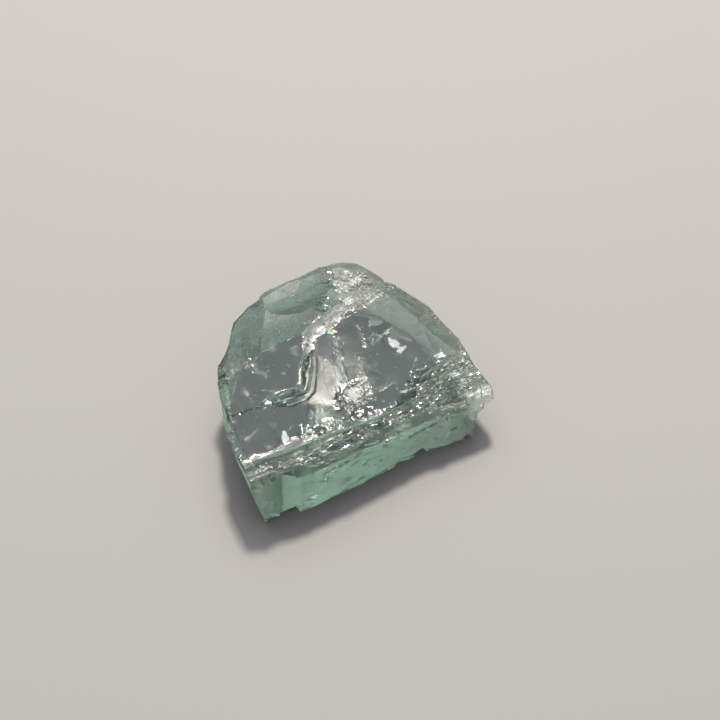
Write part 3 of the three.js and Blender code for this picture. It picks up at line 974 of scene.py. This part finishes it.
# %% Where the plates lie
GLINTS = [  # place on the plan, depth under the top, radius, stretch, angle, how many
    ((3.45, -0.55), 0.19, 0.17, 2.0, 100, 26), ((3.6, -1.0), 0.19, 0.13, 2.2, 20, 16),
    ((3.4, -0.2), 0.19, 0.08, 2.4, 95, 8), ((-3.85, -2.6), 2.3, 0.13, 2.6, 80, 34),
    ((3.0, 2.6), 0.12, 0.22, 2.6, 12, 18), ((2.2, 2.47), 0.12, 0.28, 2.6, 10, 24),
    ((1.3, 2.3), 0.12, 0.32, 2.4, 14, 26), ((0.5, 2.1), 0.12, 0.34, 2.2, 18, 26),
    ((-0.1, 1.8), 0.12, 0.3, 2.2, 40, 22), ((-0.5, 1.35), 0.12, 0.22, 2.2, 52, 16),
    ((-0.85, 0.9), 0.12, 0.15, 2.2, 55, 10),
]
FILMS = [
    ((0.9, 1.45), 0.12, 0.16, 1.3, 40, 12), ((0.55, 1.75), 0.1, 0.12, 2, 30, 8),
    ((1.35, 2.1), 0.1, 0.1, 2, 30, 8),
]
print("heaps of plates:", len(GLINTS), "silver,", len(FILMS), "rainbow")

# %% Thin plates
PLATE = 0.008  # how thick a plate is at its middle
PLATE_SPREAD = 0.42  # how far a heap spreads, in radii
PLATE_TIP = 0.06  # how far a plate is tipped, in radians
PLATE_COVER = 0.01  # a plate with less crystal than this over any corner is left out


def plate(work, place, radius, stretch, turn, depth):
    """A flat cone of seven sides under the top, pulled out of round and tipped a little."""
    away = Vector((random.gauss(0, PLATE_SPREAD) * stretch, random.gauss(0, PLATE_SPREAD), 0))
    offset = turn @ away * radius
    hit = carved.ray_cast(Vector((place[0] + offset.x, place[1] + offset.y, ABOVE)), DOWN)[0]
    made = bmesh.ops.create_cone(
        work, cap_ends=True, segments=7, radius1=radius * random.uniform(0.4, 1.0), radius2=0.0, depth=PLATE
    )["verts"]
    for v in made:
        v.co.x *= random.uniform(0.6, 1.2) * stretch * 0.6
        v.co.y *= random.uniform(0.6, 1.2)
    tip_x = Matrix.Rotation(random.gauss(0, PLATE_TIP), 4, "X")
    tip_y = Matrix.Rotation(random.gauss(0, PLATE_TIP), 4, "Y")
    spot = Vector((hit.x, hit.y, hit.z - depth - random.uniform(0, 0.3) * radius))
    matrix = Matrix.Translation(spot) @ turn.to_4x4() @ (tip_x @ tip_y)
    bmesh.ops.transform(work, matrix=matrix, verts=made)
    if not all(buried(v.co, PLATE_COVER) for v in made):
        bmesh.ops.delete(work, geom=made, context="VERTS")


def plates(name, heaps):
    """Heaps of overlapping plates, as one piece."""
    work = bmesh.new()
    for place, depth, radius, stretch, along, count in heaps:
        turn = Matrix.Rotation(math.radians(along), 3, "Z")
        for _ in range(count):
            plate(work, place, radius, stretch, turn, depth)
    return finished(name, work)


print("a plate is", PLATE, "mm thick")


# %% Silver plates
SILVER = (0.9, 0.9, 0.9, 1)
sparks = plates("cleavage_glints", GLINTS)
sparks.data.materials.append(plain_material("cleavage_silver", SILVER, 0.45, metallic=1))
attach(sparks, "root")

# %% [markdown]
# ## A rainbow where a crack is thinner than light
#
# Next to the step one crack shows spectral colours, like oil on water. The colours follow the thickness of
# the gap, which wanders slowly, so a slow noise picks them from a ramp.

# %% Rainbow film
RAINBOW = [  # place on the ramp, colour
    (0.3, (0.45, 0.55, 1, 1)), (0.42, (0.4, 0.95, 0.9, 1)), (0.5, (0.95, 1, 0.5, 1)),
    (0.58, (1, 0.8, 0.45, 1)), (0.7, (1, 0.5, 0.6, 1)),
]
WANDER = 2600  # waves of the thickness per metre


def rainbow_film():
    """Rough metal whose colour wanders over the ramp."""
    material = uncoloured("rainbow_film", 0.4, metallic=1)
    tree = material.node_tree
    thickness = tree.nodes.new("ShaderNodeTexNoise")
    thickness.inputs["Scale"].default_value = WANDER
    thickness.inputs["Detail"].default_value = 1
    place = tree.nodes.new("ShaderNodeTexCoord").outputs["Object"]
    tree.links.new(place, thickness.inputs["Vector"])
    ramp = tree.nodes.new("ShaderNodeValToRGB")
    stops = ramp.color_ramp.elements
    stops[0].position, stops[0].color = RAINBOW[0]
    stops[1].position, stops[1].color = RAINBOW[-1]
    for at, colour in RAINBOW[1:-1]:
        stops.new(at).color = colour
    tree.links.new(thickness.outputs["Fac"], ramp.inputs["Fac"])
    tree.links.new(ramp.outputs["Color"], tree.nodes["Principled BSDF"].inputs["Base Color"])
    return material


rainbow = plates("rainbow_film", FILMS)
rainbow.data.materials.append(rainbow_film())
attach(rainbow, "root")

# %% [markdown]
# ## Floor
#
# A small clear thing shows its room more than itself, so the room is kept plain. The floor is one pale
# sheet, much larger than the crystal, a hair under it so that the two faces don't fight for the same place.

# %% Floor
FLOOR_SIDE = 0.6
FLOOR_GAP = 0.00001
PALE = (0.5, 0.5, 0.49, 1)


def pale_floor():
    """One square sheet, a hair under the crystal."""
    work = bmesh.new()
    bmesh.ops.create_grid(work, x_segments=1, y_segments=1, size=FLOOR_SIDE / 2)
    bmesh.ops.translate(work, vec=(0, 0, -FLOOR_GAP), verts=work.verts)
    mesh = bpy.data.meshes.new("floor")
    work.to_mesh(mesh)
    work.free()
    return placed("floor", mesh)


floor = pale_floor()
floor.data.materials.append(plain_material("pale_floor", PALE, 0.8))
print("floor side, m:", FLOOR_SIDE)

# %% [markdown]
# ## Light
#
# One broad soft panel lies where the flat top mirrors it, which gives the windows their calm grey. One
# small lamp makes the broken edges sparkle: it stands where neither the flat top nor the base mirrors it
# into the camera, but every surface that is tipped or a little dull does. Caustics would need far more
# samples than they are worth here, so they are off.

# %% World and colour
AMBIENT = 0.25
scene = bpy.context.scene
scene.cycles.caustics_refractive = False
scene.cycles.caustics_reflective = False
scene.view_settings.view_transform = "Standard"
world = bpy.data.worlds.new("studio")
scene.world = world
world.use_nodes = True
world.node_tree.nodes["Background"].inputs["Color"].default_value = (1, 1, 1, 1)
world.node_tree.nodes["Background"].inputs["Strength"].default_value = AMBIENT
print("ambient light:", AMBIENT)


# %% Lamps
def lamp(name, azimuth, elevation, distance, size, radiance, colour):
    """A round soft light that looks at the crystal, its azimuth counted from +Y towards +X."""
    light = bpy.data.lights.new(name, "AREA")
    light.shape = "DISK"
    light.size = size
    light.color = colour
    light.energy = radiance * math.pi * math.pi * (size / 2) ** 2
    a, e = math.radians(azimuth), math.radians(elevation)
    place = Vector((math.sin(a) * math.cos(e), math.cos(a) * math.cos(e), math.sin(e))) * distance
    holder = placed(name, light)
    holder.location = place
    holder.rotation_mode = "QUATERNION"
    holder.rotation_quaternion = (-place).to_track_quat("-Z", "Y")
    return holder


lamps = [
    lamp("panel", 20, 62, distance=0.25, size=0.26, radiance=1.35, colour=(0.96, 0.95, 1)),
    lamp("key", 32, 65, distance=0.2, size=0.03, radiance=130, colour=(1, 0.93, 0.82)),
]
print("lamps, W:", [round(holder.data.energy, 3) for holder in lamps])

# %% [markdown]
# ## Camera
#
# The crystal is seen from the front and well above, a little from its left. The lens is long, as for any
# small thing, and the distance follows from how many pixels a millimetre of the crystal should cover.

# %% Camera
PIXELS = 720
PIXELS_PER_METRE = 19100
ELEVATION, AZIMUTH = math.radians(55), math.radians(-27.2)
AIM = Vector((1.11, -0.661, 0)) * MM  # this point of the floor falls on the next pixel
AIM_PIXEL = (355, 400)
LENS, SENSOR = 100, 36
NEAR, FAR = 0.001, 10


def look_from(azimuth, elevation):
    """The direction from the crystal to the camera, and how the camera is turned."""
    level = math.cos(elevation)
    back = Vector((math.sin(azimuth) * level, -math.cos(azimuth) * level, math.sin(elevation)))
    return back, (-back).to_track_quat("-Z", "Y")


def long_lens_camera():
    """The camera, placed so that the aim falls on its pixel."""
    eye = bpy.data.cameras.new("camera")
    eye.lens, eye.sensor_width = LENS, SENSOR
    eye.clip_start, eye.clip_end = NEAR, FAR
    back, turn = look_from(AZIMUTH, ELEVATION)
    right, up = turn @ Vector((1, 0, 0)), turn @ Vector((0, 1, 0))
    aside, below = (pixel - PIXELS / 2 for pixel in AIM_PIXEL)
    middle = AIM - right * aside / PIXELS_PER_METRE + up * below / PIXELS_PER_METRE
    distance = PIXELS / PIXELS_PER_METRE * LENS / SENSOR
    camera = placed("camera", eye)
    camera.location = middle + back * distance
    camera.rotation_mode = "QUATERNION"
    camera.rotation_quaternion = turn
    return camera


scene.camera = long_lens_camera()
print("camera at, mm:", [round(v / MM, 1) for v in scene.camera.location])
